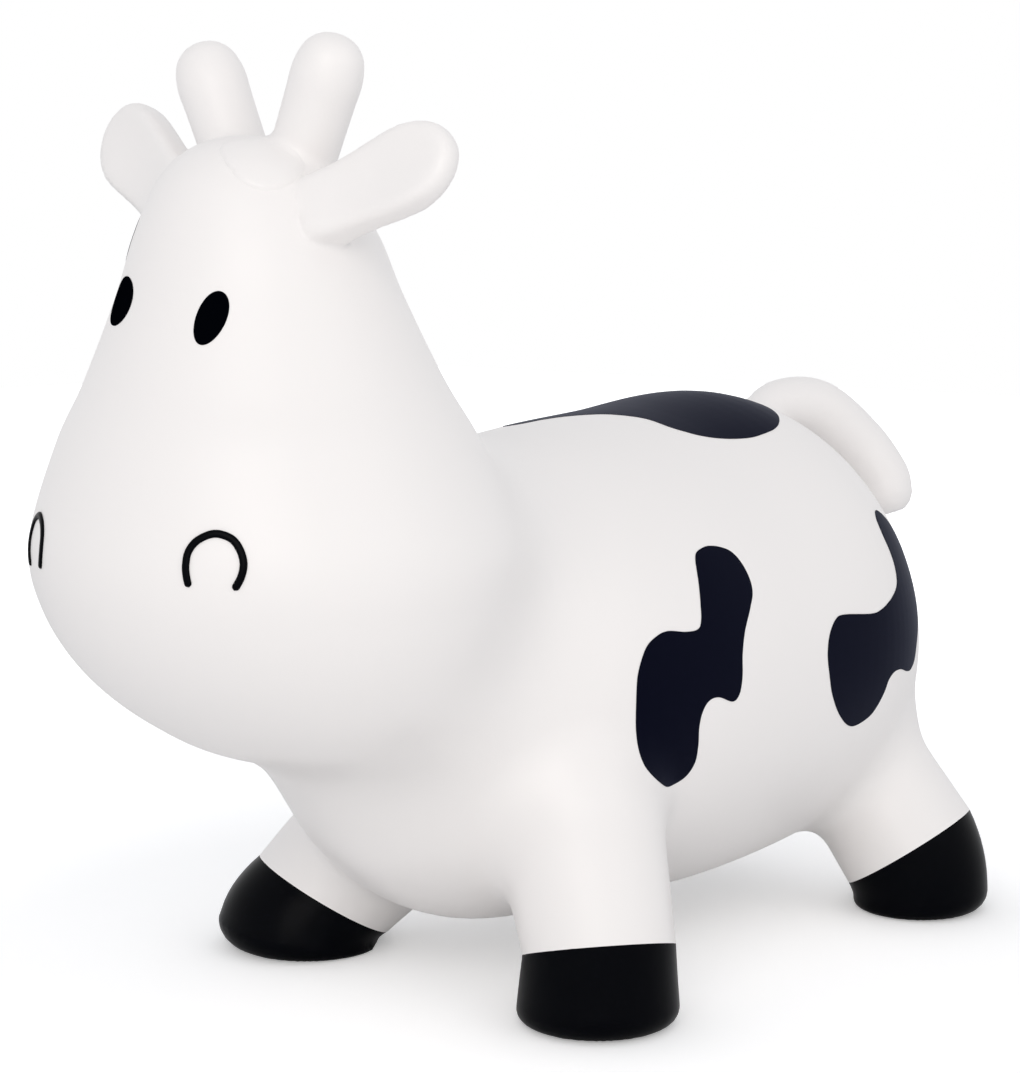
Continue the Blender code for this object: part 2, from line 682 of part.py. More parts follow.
def build():
    clear_scene()
    nodes = new_collection("ride_on_cow")
    cutters = new_collection("cutters")

    # Whole forms first: the cutters and the thin layers are copies of them
    torso = make_torso(nodes)
    head = make_head(nodes)
    torso_clear = as_cutter(grown("torso_clear", torso, GAP, cutters))
    head_bore = as_cutter(grown("head_bore", head, -3 * WALL, cutters))
    make_patches(torso, head, nodes, cutters)
    forelock = make_face(head, nodes, cutters)

    shell(torso, WALL)
    make_valve(torso, nodes, cutters)
    boolean(torso, head_bore, "DIFFERENCE")
    shell(head, WALL)
    boolean(head, torso_clear, "DIFFERENCE")

    for name in LEGS:
        make_leg(name, torso, torso_clear, nodes, cutters)
    clear_patch_tip(nodes, cutters)
    for side, name in ((1, "left"), (-1, "right")):
        make_horn(side, name, head, forelock, nodes, cutters)
        make_ear(name, head, nodes, cutters)
    make_tail(torso_clear, nodes)
    for obj in [*nodes.objects, *cutters.objects]:
        obj.location.y -= MIDDLE_Y


build()
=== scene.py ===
"""Dresses the bouncy ride on cow: one smooth inflated skin with painted marks, in a soft white studio.

Metres, +Z up. The cow faces -Y, so its left side is +X.
"""

import math

import bmesh
import bpy
import numpy as np
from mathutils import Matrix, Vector
from mathutils.bvhtree import BVHTree
from mathutils.geometry import delaunay_2d_cdt


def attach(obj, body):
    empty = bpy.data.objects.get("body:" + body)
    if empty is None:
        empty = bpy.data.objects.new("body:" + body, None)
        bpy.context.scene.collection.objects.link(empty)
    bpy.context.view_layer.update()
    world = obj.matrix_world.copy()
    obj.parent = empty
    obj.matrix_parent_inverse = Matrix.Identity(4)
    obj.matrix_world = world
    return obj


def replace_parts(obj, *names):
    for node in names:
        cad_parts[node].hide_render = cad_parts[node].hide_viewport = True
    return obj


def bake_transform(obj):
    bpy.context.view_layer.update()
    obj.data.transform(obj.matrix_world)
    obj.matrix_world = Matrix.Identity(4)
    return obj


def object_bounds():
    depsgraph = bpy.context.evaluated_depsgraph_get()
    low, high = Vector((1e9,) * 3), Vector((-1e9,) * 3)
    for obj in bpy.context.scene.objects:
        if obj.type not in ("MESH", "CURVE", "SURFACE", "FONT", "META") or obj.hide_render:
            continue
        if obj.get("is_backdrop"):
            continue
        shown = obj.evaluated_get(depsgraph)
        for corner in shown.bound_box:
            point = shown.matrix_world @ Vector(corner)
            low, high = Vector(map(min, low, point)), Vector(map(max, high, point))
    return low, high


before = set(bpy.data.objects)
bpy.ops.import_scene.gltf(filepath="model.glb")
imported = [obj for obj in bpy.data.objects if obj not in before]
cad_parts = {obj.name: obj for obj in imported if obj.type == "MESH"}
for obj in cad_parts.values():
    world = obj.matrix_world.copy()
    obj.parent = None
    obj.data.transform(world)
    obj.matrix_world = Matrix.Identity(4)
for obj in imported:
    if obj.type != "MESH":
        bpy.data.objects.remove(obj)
CAD_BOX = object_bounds()

# The tables below are laid out along Y from a point between the feet. The cow stands this much
# further forward, with the middle of its box over the origin.
MIDDLE_Y = 0.014

# Fineness of the forms: points around each kind of ring, and rings drawn for each row of a table
AROUND_BODY = 144
AROUND_LIMB = 72
AROUND_SMALL = 48
AROUND_BEAD = 16
AROUND_EYE = 24
ROW_STEPS = 8

# The skin over the forms: size of its cells, rounds in which its points are evened out and set back on
# the forms, share of the evening in each round, and the least steepness that a step reckons with
SKIN_CELL = 0.0025
SKIN_ROUNDS = 10
SKIN_EASE = 0.5
STEEPNESS_LEAST = 0.3

# How far from a form its distance is followed, and how near counts as on it
REACH = 0.055
TOUCHING = SKIN_CELL / 50

# How far the skin rounds out the valley where one form meets the body
NECK_ROUND = 0.050
LEG_ROUND = 0.018
TAIL_ROUND = 0.016
HORN_ROUND = 0.005
EAR_ROUND = 0.0025

# Torso rows, nose to tail: along Y, height of the middle, half height, half width
TORSO_ROWS = (
    (-0.146, 0.143, 0.0000, 0.0000),
    (-0.139, 0.143, 0.0370, 0.0330),
    (-0.112, 0.149, 0.0835, 0.0780),
    (-0.062, 0.1560, 0.1215, 0.1185),
    (0.010, 0.160, 0.1310, 0.1360),
    (0.090, 0.161, 0.1370, 0.1400),
    (0.170, 0.166, 0.1375, 0.1370),
    (0.227, 0.158, 0.1215, 0.1165),
    (0.268, 0.147, 0.0880, 0.0830),
    (0.290, 0.143, 0.0430, 0.0420),
    (0.296, 0.143, 0.0000, 0.0000),
)

# Head rows, crown to chin: height, middle along Y, half depth, half width
HEAD_ROWS = (
    (0.4445, -0.188, 0.000, 0.000),
    (0.4402, -0.188, 0.024, 0.024),
    (0.4250, -0.187, 0.043, 0.043),
    (0.3980, -0.183, 0.0590, 0.0580),
    (0.3680, -0.181, 0.0699, 0.0690),
    (0.3270, -0.1785, 0.0880, 0.0870),
    (0.2970, -0.176, 0.1040, 0.1030),
    (0.2500, -0.170, 0.1225, 0.1215),
    (0.2170, -0.168, 0.1185, 0.1185),
    (0.1850, -0.162, 0.1032, 0.1062),
    (0.1580, -0.150, 0.0820, 0.0880),
    (0.1390, -0.140, 0.0530, 0.0590),
    (0.1320, -0.136, 0.000, 0.000),
)

# Legs: where the sole stands; which way the leg splays; the tilt of its paint line in degrees and how the
# leg leans above that line, as shares of its rise: ever further in, sideways, and straight in; the height
# of the paint line's middle and how far that lies in from the sole's middle; the radii of sole, paint line
# and thigh, and how much further than on average the sole's edge rolls up on its outer side
HIND_LEG = ((34, 0.0, 0.0, 0.0), (0.0361, 0.0074), (0.0393, 0.0418, 0.0402, 0.5))
LEGS = {
    "front_left": (
        (0.1151, -0.0611), (0.818, -0.575), (19, 0.035, -0.085, 0.0),
        (0.0382, -0.0019), (0.0416, 0.0390, 0.0420, 0.5),
    ),
    "front_right": (
        (-0.1010, -0.0649), (-0.557, -0.830), (32, 0.200, 0.0, 0.30),
        (0.0278, 0.0140), (0.0454, 0.0419, 0.0450, 0.95),
    ),
    "hind_left": ((0.1169, 0.2337), (0.935, 0.354), *HIND_LEG),
    "hind_right": ((-0.1169, 0.2337), (-0.935, 0.354), *HIND_LEG),
}
# Leg profile from the torso down to the paint line: share of the leg's rise, then the shares of the
# paint line's radius and of the thigh's that make its radius there
LEG_RISE = 0.106
LEG_PROFILE_SHARES = (
    (1.000, 0.0, 0.55),
    (0.890, 0.0, 0.86),
    (0.680, 0.0, 1.05),
    (0.425, 0.0, 1.00),
    (0.190, 0.5, 0.50),
    (0.000, 1.0, 0.00),
)
# The sole's round edge, and how many rings draw that edge and the hoof above it
SOLE_EDGE = 0.0080
EDGE_RINGS = 6
HOOF_RINGS = 9
# A leg's own piece of skin: how far up from the paint line it goes and how far from the leg's form it
# reaches, and two heights up the leg from the paint line that are worked out but not used
LEG_PIECE_TOP = 0.078
LEG_PIECE_REACH = 0.026
LEG_BEND = (0.070, 0.004)
# Where the skin is cut at a paint line: within this many radii of the line's middle, and no finer than this
CUT_RADII = 1.6
CUT_LEAST = SKIN_CELL / 20
# The second layer of skin behind each leg: how far around the leg it goes and how deep it lies
BACKING_REACH = 0.042
BACKING_DEPTH = 0.0004

# Horn profile from the tip down to its root: distance from the root's middle, radius
HORN_PROFILE = (
    (0.0615, 0.0000),
    (0.0602, 0.0070),
    (0.0570, 0.0118),
    (0.0515, 0.0153),
    (0.0420, 0.0173),
    (0.0300, 0.0170),
    (0.0150, 0.0167),
    (0.0000, 0.0164),
    (-0.0050, 0.0150),
    (-0.0098, 0.0105),
)
HORN_ROOT = (0.0233, -0.174, 0.4345)
HORN_LEANS = {"left": math.radians(24.6), "right": math.radians(25.6)}
# A horn's own piece of skin: where it starts along the horn, how far from the horn's form it reaches,
# and two distances along the horn from its root that are worked out but not used
HORN_PIECE_START = 0.0085
HORN_PIECE_REACH = 0.007
HORN_BEND = (0.0095, 0.0280)

# Ear rows: distance along the ear from its root, half width, half thickness
EAR_ROWS = (
    (-0.0080, 0.0000, 0.0000),
    (-0.0066, 0.0105, 0.0095),
    (-0.0040, 0.0150, 0.0132),
    (0.0000, 0.0162, 0.0125),
    (0.0110, 0.0166, 0.0103),
    (0.0220, 0.0174, 0.0093),
    (0.0400, 0.0191, 0.0092),
    (0.0500, 0.0192, 0.0092),
    (0.0580, 0.0180, 0.0092),
    (0.0640, 0.0154, 0.0090),
    (0.0685, 0.0117, 0.0080),
    (0.0715, 0.0071, 0.0060),
    (0.0727, 0.0035, 0.0035),
    (0.0731, 0.0000, 0.0000),
)
# Ears: root, the way the ear points, the way its dished face looks, shares of length and width
EARS = {
    "left": ((0.0535, -0.1881, 0.4088), (0.908, 0.179, 0.379), (0.14, -0.93, 0.30), (1.045, 1.06)),
    "right": ((-0.0530, -0.1874, 0.4153), (-0.844, 0.177, 0.506), (-0.14, -0.93, 0.30), (1.020, 1.13)),
}
# An ear is flat-sided with soft corners, which grow fully round between this place and its tip
EAR_CORNER = 0.44
EAR_TIP_START = 0.050
# The hollow in its front: depth, share of the width, where it starts along the ear and over what run it
# deepens. It is shallower where the ear is narrower than this.
EAR_DISH = 0.0026
EAR_DISH_SHARE = 0.90
EAR_DISH_START = 0.0040
EAR_DISH_RUN = 0.0300
EAR_DISH_HALF_WIDTH = 0.0162
# An ear's own piece of skin, as for a horn
EAR_PIECE_START = 0.0070
EAR_PIECE_REACH = 0.006
EAR_BEND = (0.0085, 0.0320)

# Tail path over the rump, swung to the left: X, Y, Z and the radius there
TAIL_ROWS = (
    (0.000, 0.218, 0.2845, 0.0095),
    (0.002, 0.242, 0.2925, 0.0142),
    (0.012, 0.2695, 0.2893, 0.0168),
    (0.0255, 0.2938, 0.2675, 0.0168),
    (0.0375, 0.3030, 0.2470, 0.0167),
    (0.0415, 0.3036, 0.2372, 0.0160),
)
# Where the rings of its round end lie, as shares of the end's radius
TAIL_END_SHARES = (0.35, 0.65, 0.88)

# Painted outlines, each on the plane that it is laid out on: along that plane, height
FLANK_OUTLINE = (
    (0.0285, 0.2350), (0.0235, 0.2345), (0.0175, 0.2325), (0.0140, 0.2280), (0.0105, 0.2190),
    (0.0065, 0.2075), (0.0040, 0.2000), (0.0005, 0.1960), (-0.0080, 0.1955), (-0.0195, 0.1970),
    (-0.0275, 0.1950), (-0.0350, 0.1900), (-0.0410, 0.1800), (-0.0435, 0.1705), (-0.0445, 0.1550),
    (-0.0435, 0.1360), (-0.0380, 0.1265), (-0.0250, 0.1180), (-0.0155, 0.1170), (-0.0065, 0.1195),
    (-0.0020, 0.1265), (-0.0020, 0.1360), (-0.0030, 0.1455), (-0.0015, 0.1535), (0.0030, 0.1590),
    (0.0100, 0.1600), (0.0200, 0.1565), (0.0250, 0.1595), (0.0275, 0.1680), (0.0290, 0.1800),
    (0.0335, 0.1915), (0.0415, 0.2025), (0.0465, 0.2095), (0.0480, 0.2165), (0.0465, 0.2250),
    (0.0425, 0.2310), (0.0355, 0.2340),
)
RUMP_OUTLINE = (
    (0.1085, 0.2395), (0.1170, 0.2375), (0.1280, 0.2315), (0.1400, 0.2225), (0.1470, 0.2100),
    (0.1490, 0.1950), (0.1440, 0.1800), (0.1340, 0.1690), (0.1250, 0.1600), (0.1200, 0.1520),
    (0.1110, 0.1480), (0.1025, 0.1485), (0.0910, 0.1515), (0.0820, 0.1515), (0.0760, 0.1480),
    (0.0730, 0.1410), (0.0665, 0.1315), (0.0590, 0.1275), (0.0490, 0.1260), (0.0400, 0.1295),
    (0.0300, 0.1380), (0.0225, 0.1490), (0.0190, 0.1605), (0.0180, 0.1710), (0.0210, 0.1810),
    (0.0275, 0.1885), (0.0350, 0.1905), (0.0575, 0.1880), (0.0680, 0.1890), (0.0825, 0.1940),
    (0.0930, 0.2000), (0.0975, 0.2090), (0.0985, 0.2180), (0.0985, 0.2270), (0.1015, 0.2355),
)
BACK_OUTLINE = (
    (-0.015, 0.027), (-0.012, 0.040), (-0.007, 0.051), (0.006, 0.067), (0.017, 0.074),
    (0.030, 0.080), (0.044, 0.082), (0.053, 0.087), (0.060, 0.094), (0.066, 0.106),
    (0.070, 0.122), (0.070, 0.136), (0.068, 0.149), (0.063, 0.160), (0.054, 0.171),
    (0.042, 0.179), (0.026, 0.184), (0.006, 0.186), (-0.014, 0.183), (-0.032, 0.172),
    (-0.043, 0.152), (-0.045, 0.128), (-0.041, 0.102), (-0.036, 0.078), (-0.034, 0.054),
    (-0.033, 0.034), (-0.024, 0.022),
)
RIGHT_OUTLINE = (
    (-0.060, 0.246), (-0.040, 0.240), (-0.030, 0.222), (-0.034, 0.200), (-0.022, 0.186),
    (-0.004, 0.180), (0.006, 0.162), (0.000, 0.138), (-0.018, 0.122), (-0.040, 0.120),
    (-0.056, 0.134), (-0.060, 0.156), (-0.074, 0.168), (-0.092, 0.176), (-0.100, 0.196),
    (-0.096, 0.222), (-0.082, 0.240),
)
BROW_OUTLINE = (
    (0.2120, 0.4085), (0.2215, 0.4070), (0.2275, 0.4005), (0.2300, 0.3920), (0.2275, 0.3835),
    (0.2195, 0.3760), (0.2090, 0.3670), (0.1990, 0.3570), (0.1820, 0.3520), (0.1660, 0.3580),
    (0.1600, 0.3710), (0.1660, 0.3850), (0.1840, 0.3940), (0.2020, 0.4020),
)
RUMP_TURN = math.radians(120)
# Fineness of the outlines and of the marks' faces: steps between two points, size of a face, height of a
# row of faces, room left along the outline, and how near two points are one
OUTLINE_STEPS = 10
MARK_CELL = 0.0025
ROW_SHARE = math.sqrt(0.75)
EDGE_ROOM = 0.6
SAME_POINT = 1e-7
# How far paint stands out of the skin, and how far its edge goes into it
PAINT_HEIGHT = 0.00025
PAINT_SINK = 0.0003

# Forelock: its outline on a plane that leans back by this much from level, and the line, seen from above,
# along which it rises from nothing to its height
FORELOCK_LEAN = math.radians(50)
FORELOCK_OUTLINE = (
    (0.0085, 0.2012), (0.0109, 0.1956), (0.0170, 0.1905), (0.0230, 0.1860), (0.0299, 0.1820),
    (0.0360, 0.1813), (0.0404, 0.1839), (0.0434, 0.1904), (0.0428, 0.2001), (0.0385, 0.2095),
    (0.0319, 0.2140), (0.0217, 0.2128), (0.0139, 0.2108), (0.0092, 0.2070),
)
FORELOCK_RISE = ((0.0140, -0.1950), (0.0290, -0.2120))
FORELOCK_HEIGHT = 0.0015
FORELOCK_RIM = 0.0018
FORELOCK_SINK = 0.000075
FORELOCK_CELL = 0.0012

# Air valve under the rump. Profiles of the collar and of its plug: distance in from the skin, radius
VALVE_AT = (0.0, 0.2300, 0.0375)
VALVE_INWARD = (0.0, -0.31, 0.95)
VALVE_CLEAR = 0.0135
COLLAR_PROFILE = (
    (0.0012, 0.0152), (-0.0004, 0.0149), (-0.0009, 0.0142), (-0.0011, 0.0130), (-0.0011, 0.0108),
    (-0.0009, 0.0101), (-0.0002, 0.0097), (0.0026, 0.0096), (0.0029, 0.0093), (0.0030, 0.0086),
    (0.0030, 0.0054), (0.0034, 0.0050), (0.0190, 0.0050), (0.0198, 0.0040),
)
PLUG_PROFILE = (
    (0.0004, 0.0010), (0.0004, 0.0042), (0.0000, 0.0052), (0.0000, 0.0074), (0.0003, 0.0084),
    (0.0009, 0.0089), (0.0017, 0.0090), (0.0023, 0.0087), (0.0026, 0.0080), (0.0026, 0.0043),
    (0.0030, 0.0040), (0.0058, 0.0040), (0.0070, 0.0046), (0.0084, 0.0040), (0.0108, 0.0040),
    (0.0120, 0.0046), (0.0134, 0.0040), (0.0162, 0.0036), (0.0169, 0.0028), (0.0170, 0.0010),
)

# Face, seen from the front: X and height of the middle, then the half sizes
EYES = {
    "left": ((0.0355, 0.3598), (0.0066, 0.0122)),
    "right": ((-0.0258, 0.3663), (0.0126, 0.0116)),
}
NOSTRILS = {"left": (0.0665, 0.2530), "right": (-0.0505, 0.2530)}
NOSTRIL_PATH = (
    (-0.0095, -0.0120), (-0.0105, -0.0070), (-0.0110, -0.0020), (-0.0105, 0.0040), (-0.0075, 0.0090),
    (-0.0015, 0.0120), (0.0050, 0.0100), (0.0090, 0.0050), (0.0110, -0.0010), (0.0105, -0.0070),
    (0.0080, -0.0130),
)
# Half width of a nostril's bead, its flatness, how far its middle stands out, and how blunt its ends are
NOSTRIL_RADIUS = 0.0018
NOSTRIL_FLATNESS = 0.5
NOSTRIL_PROUD = 0.0003
NOSTRIL_BLUNT = 0.02

# Colours and finish
WHITE = (0.897, 0.873, 0.860)
SHEEN_BLUE = (0.40, 0.50, 1.0)
BLACK = (0.0018, 0.0022, 0.0080)
HOOF_BLACK = (0.0008, 0.0011, 0.0022)
PLUG_WHITE = (0.86, 0.85, 0.83)
# Colour, roughness, depth of the grain, how much it mirrors, sheen
FINISHES = {
    "white_skin": (WHITE, 0.42, 0.0001, 0.5, 0.0),
    "white_forelock": (WHITE, 0.42, 0.0001, 0.5, 0.0),
    "valve_white": (PLUG_WHITE, 0.38, 0.0, 0.5, 0.0),
    "hoof_black": (HOOF_BLACK, 0.30, 0.0001, 0.04, 0.0),
    "printed_black": (BLACK, 0.45, 0.0001, 0.02, 0.05),
    "eye_black": (HOOF_BLACK, 0.45, 0.0, 0.0, 0.0),
    "glossy_black": (HOOF_BLACK, 0.25, 0.0, 0.04, 0.0),
}
# Fineness of the changes in finish and of the grain, and how strong both are
CLOUD_SCALE = 14
CLOUD_DETAIL = 3
ROUGHNESS_SWING = 0.05
GRAIN_SCALE = 900
GRAIN_STRENGTH = 0.25

# Studio: sky, and lamps as place and watts
SKY_COLOUR = (0.950, 0.965, 1.0)
SKY_STRENGTH = 0.71
LAMPS = {"key": ((1.3, -1.9, 1.2), 15.5), "side": ((1.9, 0.1, 1.3), 3.5)}
LAMP_SIZE = 1.5
LAMP_COLOUR = (1.0, 0.955, 0.905)
LAMP_AIM = (0, 0, 0.22)
# Floor, and how it fades to white: from which distance to which, and its own light at both
FLOOR_SIZE = 8
FLOOR_COLOUR = (0.93, 0.93, 0.93)
FLOOR_ROUGHNESS = 0.9
FLOOR_FADE = (0.30, 1.20)
FLOOR_LIFT = (0.28, 0.80)

# Camera: where it stands, its turn from -Y toward +X, how far it looks down, focal length in mm
CAMERA_AT = (0.9187, -1.0343, 0.406)
CAMERA_TURN = math.radians(42)
CAMERA_DIP = math.radians(7.18)
CAMERA_LENS = 85.25

SIDE = np.array((1.0, 0.0, 0.0))
REAR = np.array((0.0, 1.0, 0.0))
UP = np.array((0.0, 0.0, 1.0))
SHIFT = REAR * MIDDLE_Y


def unit(v):
    return np.asarray(v, float) / np.linalg.norm(v)


def smooth_rows(rows, radii=0):
    """Rows of a smooth curve through the given ones. The last `radii` columns turn negative past a pole."""
    rows = np.array(rows, float)
    signs = np.ones(rows.shape[1])
    if radii:
        signs[-radii:] = -1

    def beyond(end, next_in):
        if radii and rows[end, -1] == 0:
            return rows[next_in] * signs
        return 2 * rows[end] - rows[next_in]

    knots = np.vstack((beyond(0, 1), rows, beyond(-1, -2)))
    return curve_through(knots, ROW_STEPS, closed=False)


def curve_through(knots, steps, closed):
    """A smooth curve through knots. An open one leaves out its first and last knot."""
    if closed:
        knots = np.vstack((knots[-1:], knots, knots[:2]))
    smooth = []
    for k in range(1, len(knots) - 2):
        a, b, c, d = knots[k - 1 : k + 3]
        for step in range(steps):
            t = step / steps
            bend = (2 * a - 5 * b + 4 * c - d) * t * t + (3 * b - a - 3 * c + d) * t**3
            smooth.append(0.5 * (2 * b + (c - a) * t + bend))
    if not closed:
        smooth.append(knots[-2])
    return np.array(smooth)


def ring(centre, across, up, half_across, half_up, count):
    """An ellipse of points around a centre."""
    turn = np.linspace(0, 2 * math.pi, count, endpoint=False)[:, None]
    return centre + across * half_across * np.cos(turn) + up * half_up * np.sin(turn)


def loft(rings, closed_start=True):
    """Points and faces of a skin over rings of equal count, closed at its end and, if asked, at its start."""
    count = rings.shape[1]
    points = np.vstack((rings.reshape(-1, 3), rings[[0, -1]].mean(axis=1)))
    faces = []
    for near in range(0, (len(rings) - 1) * count, count):
        for k in range(count):
            after = (k + 1) % count
            faces.append((near + k, near + after, near + count + after, near + count + k))
    last = (len(rings) - 1) * count
    for k in range(count):
        after = (k + 1) % count
        faces.append((last + k, last + after, len(points) - 1))
        if closed_start:
            faces.append((after, k, len(points) - 2))
    return points, faces


class Form:
    """A closed loft over rings of equal count, and the distance to it."""

    def __init__(self, rings):
        self.points, self.faces = loft(np.array(rings) - SHIFT)
        self.tree = BVHTree.FromPolygons(self.points.tolist(), self.faces)
        fans = [(face[0], *pair) for face in self.faces for pair in zip(face[1:], face[2:])]
        self.outward = np.sign(np.linalg.det(self.points[np.array(fans)]).sum())
        self.low = self.points.min(axis=0) - REACH
        self.high = self.points.max(axis=0) + REACH

    def distance(self, at):
        """Signed distance and the way it grows at each point. A far point gets the reach."""
        distance = np.full(len(at), REACH)
        slope = np.zeros((len(at), 3))
        for k in np.flatnonzero(np.all((at > self.low) & (at < self.high), axis=1)):
            point = Vector(at[k])
            near, normal, _, gap = self.tree.find_nearest(point, REACH)
            if near is None:
                continue
            normal = normal * self.outward
            away = point - near
            sign = 1 if away.dot(normal) >= 0 else -1
            distance[k] = sign * gap
            slope[k] = away * (sign / gap) if gap > TOUCHING else normal
        return distance, slope


def placed(points, at, along, across):
    """Points turned so that their Z runs along one direction and their X across, then moved."""
    along = unit(along)
    across = unit(np.asarray(across) - along * np.dot(along, across))
    turn = np.column_stack((across, np.cross(along, across), along))
    return points @ turn.T + np.asarray(at)


def torso_form():
    rings = []
    for y, z, high, wide in smooth_rows(TORSO_ROWS, 2)[1:-1]:
        rings.append(ring(REAR * y + UP * z, SIDE, UP, wide, high, AROUND_BODY))
    return Form(rings)


def head_form():
    rings = []
    for z, y, deep, wide in smooth_rows(HEAD_ROWS, 2)[1:-1]:
        rings.append(ring(REAR * y + UP * z, SIDE, REAR, wide, deep, AROUND_BODY))
    return Form(rings)


def tail_form():
    rows = smooth_rows(TAIL_ROWS)
    path, radii = rows[:, :3], rows[:, 3]
    runs = np.gradient(path, axis=0)
    rings = []
    for centre, run, radius in zip(path, runs, radii):
        across = unit(np.cross(run, SIDE))
        rings.append(ring(centre, across, unit(np.cross(run, across)), radius, radius, AROUND_SMALL))
    end = unit(runs[-1])
    for share in TAIL_END_SHARES:
        radius = radii[-1] * math.sqrt(1 - share * share)
        across = unit(np.cross(end, SIDE))
        centre = path[-1] + end * radii[-1] * share
        rings.append(ring(centre, across, unit(np.cross(end, across)), radius, radius, AROUND_SMALL))
    return Form(rings)


class Leg:
    """A leg's directions, its form with the hoof under it, and where its paint line is."""

    def __init__(self, stand, splay, lean, line, radii):
        tilt, (lean_share, sway_share, pull_share) = math.radians(lean[0]), lean[1:]
        line_height, line_shift = line
        sole_radius, line_radius, thigh_radius, roll_share = radii
        self.outward = unit((*splay, 0))
        self.sideways = np.cross(UP, self.outward)
        stand = np.array((*stand, 0))
        centre = stand + UP * line_height - self.outward * line_shift
        self.line, self.up, self.radius = centre - SHIFT, self.upward(tilt), line_radius

        angle = np.linspace(0, 2 * math.pi, AROUND_LIMB, endpoint=False)[:, None]
        around = self.outward * np.cos(angle) + self.sideways * np.sin(angle)
        edge = SOLE_EDGE * (1 + roll_share * np.cos(angle))
        rings = []
        for turn in np.linspace(0, math.pi / 2, EDGE_RINGS):
            run = around * (sole_radius - edge * (1 - math.sin(turn)))
            rings.append(stand + run + UP * edge * (1 - math.cos(turn)))
        sole_tilt = math.asin(SOLE_EDGE * roll_share / sole_radius)
        for share in np.linspace(0, 1, HOOF_RINGS)[1:]:
            radius = sole_radius + (line_radius - sole_radius) * share
            height = SOLE_EDGE + (line_height - SOLE_EDGE) * share
            middle = stand + UP * height - self.outward * line_shift * share * share
            rings.append(self.ring(middle, sole_tilt + (tilt - sole_tilt) * share, radius))
        rise = self.up + self.sideways * sway_share - self.outward * pull_share
        for share, of_line, of_thigh in smooth_rows(LEG_PROFILE_SHARES)[-2::-1]:
            middle = centre + (rise - self.outward * lean_share * share) * share * LEG_RISE
            radius = line_radius * of_line + thigh_radius * of_thigh
            rings.append(self.ring(middle, tilt + 2 * lean_share * share, radius))
        self.form = Form(rings)

    def upward(self, tilt):
        return UP * math.cos(tilt) - self.outward * math.sin(tilt)

    def ring(self, centre, tilt, radius):
        across = self.outward * math.cos(tilt) + UP * math.sin(tilt)
        return ring(centre, across, self.sideways, radius, radius, AROUND_LIMB)

    def rise(self, at):
        """How far up the leg each point is from the paint line."""
        return (at - self.line) @ self.up


def horn_form(side, lean):
    along = np.array((side * math.sin(lean), 0, math.cos(lean)))
    root = np.array((side * HORN_ROOT[0], *HORN_ROOT[1:]))
    rings = []
    for distance, radius in smooth_rows(HORN_PROFILE, 1)[1:]:
        circle = ring(UP * distance, SIDE, REAR, radius, radius, AROUND_SMALL)
        rings.append(placed(circle, root, along, REAR))
    return Form(rings), root - SHIFT, along


def ear_form(root, along, face, shares):
    length_share, width_share = shares
    angle = np.linspace(0, 2 * math.pi, AROUND_LIMB, endpoint=False)
    waves = np.cos(angle), np.sin(angle)
    rings = []
    for distance, half_width, half_thick in smooth_rows(EAR_ROWS, 2)[1:-1]:
        to_tip = max(0.0, (distance - EAR_TIP_START) / (EAR_ROWS[-1][0] - EAR_TIP_START))
        corner = EAR_CORNER + (1 - EAR_CORNER) * to_tip
        wide, thick = (np.sign(wave) * np.abs(wave) ** corner for wave in waves)
        hollow = np.where(thick > 0, np.clip(1 - (wide / EAR_DISH_SHARE) ** 2, 0, 1), 0)
        dish = EAR_DISH * np.clip((distance - EAR_DISH_START) / EAR_DISH_RUN, 0, 1)
        dish *= min(1.0, half_width / EAR_DISH_HALF_WIDTH)
        depth = thick * half_thick - hollow * dish
        width = wide * half_width * width_share
        points = np.column_stack((depth, width, np.full(AROUND_LIMB, distance * length_share)))
        rings.append(placed(points, root, along, face))
    return Form(rings), np.array(root) - SHIFT, unit(along)


def rounded_together(a, b, reach):
    """The smooth union of two distances with their slopes."""
    (near, near_slope), (far, far_slope) = a, b
    share = np.maximum(reach - np.abs(near - far), 0) / reach
    of_far = np.where(far < near, 1 - share / 2, share / 2)[:, None]
    distance = np.minimum(near, far) - share * share * reach / 4
    return distance, near_slope * (1 - of_far) + far_slope * of_far


def skin_distance(at, forms):
    """Distance from the skin that is drawn over all the forms, with its slope."""
    (first, _), *others = forms
    whole = first.distance(at)
    for form, reach in others:
        whole = rounded_together(whole, form.distance(at), reach)
    return whole


def mesh_object(name, points, faces):
    mesh = bpy.data.meshes.new(name)
    mesh.from_pydata(np.asarray(points).tolist(), [], [list(map(int, f)) for f in faces])
    mesh.shade_smooth()
    made = bpy.data.objects.new(name, mesh)
    bpy.context.scene.collection.objects.link(made)
    return made


def evaluated_mesh(obj):
    return bpy.data.meshes.new_from_object(obj.evaluated_get(bpy.context.evaluated_depsgraph_get()))


def points_of(mesh):
    flat = np.empty(len(mesh.vertices) * 3)
    mesh.vertices.foreach_get("co", flat)
    return flat.reshape(-1, 3)


